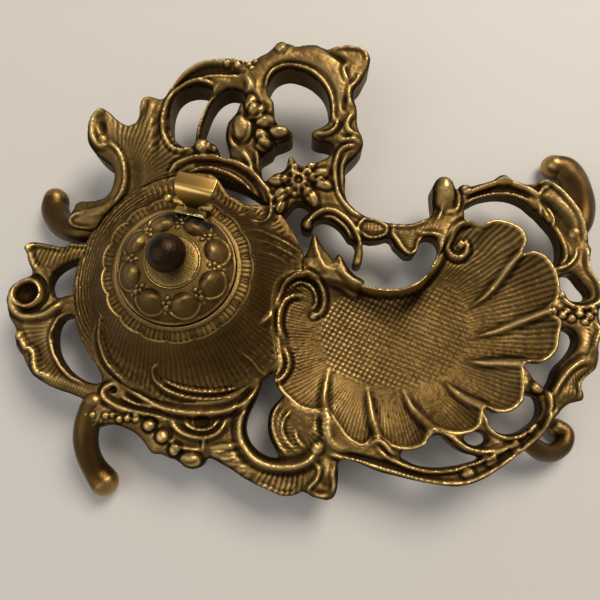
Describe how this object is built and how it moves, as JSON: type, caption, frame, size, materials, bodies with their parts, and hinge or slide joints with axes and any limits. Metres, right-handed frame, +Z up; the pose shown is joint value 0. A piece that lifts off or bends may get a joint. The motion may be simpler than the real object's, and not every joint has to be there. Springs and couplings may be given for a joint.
{
  "type": "desk inkstand",
  "caption": "Cast brass desk inkstand: pierced scrollwork tray on curled feet, shell-shaped pen dish, and a fluted ink well with a hinged, embossed lid.",
  "frame": {"origin": "middle of the footprint, on the desk under the feet", "axes": "+X to the right along the length, +Y to the back where the gallery is, +Z up"},
  "size_m": [0.2478, 0.1866, 0.0693],
  "materials": {
    "aged_brass": "cast, darkened in the hollows and rubbed bright on the ridges",
    "rubbed_brass": "turned or cut from sheet, worn bright",
    "dark_bronze": "turned, dark brown patina, smooth",
    "insert_glass": "clear pressed glass"
  },
  "bodies": {
    "stand": {"tray_shell_dish": "aged_brass", "tray_well_housing": "aged_brass", "tray_back_gallery": "aged_brass", "tray_left_scrolls": "aged_brass", "tray_front_scrolls": "aged_brass", "tray_right_scrolls": "aged_brass", "foot_front_left": "aged_brass", "foot_back_left": "aged_brass", "foot_back_right": "aged_brass", "foot_front_right": "aged_brass", "well_collar": "aged_brass", "ink_insert": "insert_glass", "collar_hinge_leaf": "aged_brass", "hinge_pin": "rubbed_brass"},
    "lid": {"lid_shell": "aged_brass", "finial_seat": "rubbed_brass", "finial": "dark_bronze", "finial_stud": "rubbed_brass", "finial_nut": "rubbed_brass", "lid_hinge_leaf": "aged_brass", "thumb_tab": "rubbed_brass"}
  },
  "joints": [
    {"name": "lid_hinge", "type": "hinge", "parent": "stand", "child": "lid", "pos_m": [-0.04343, 0.0126, 0.0492], "axis": [-0.9703, 0.2419, 0], "range_deg": [0, 90]}
  ]
}
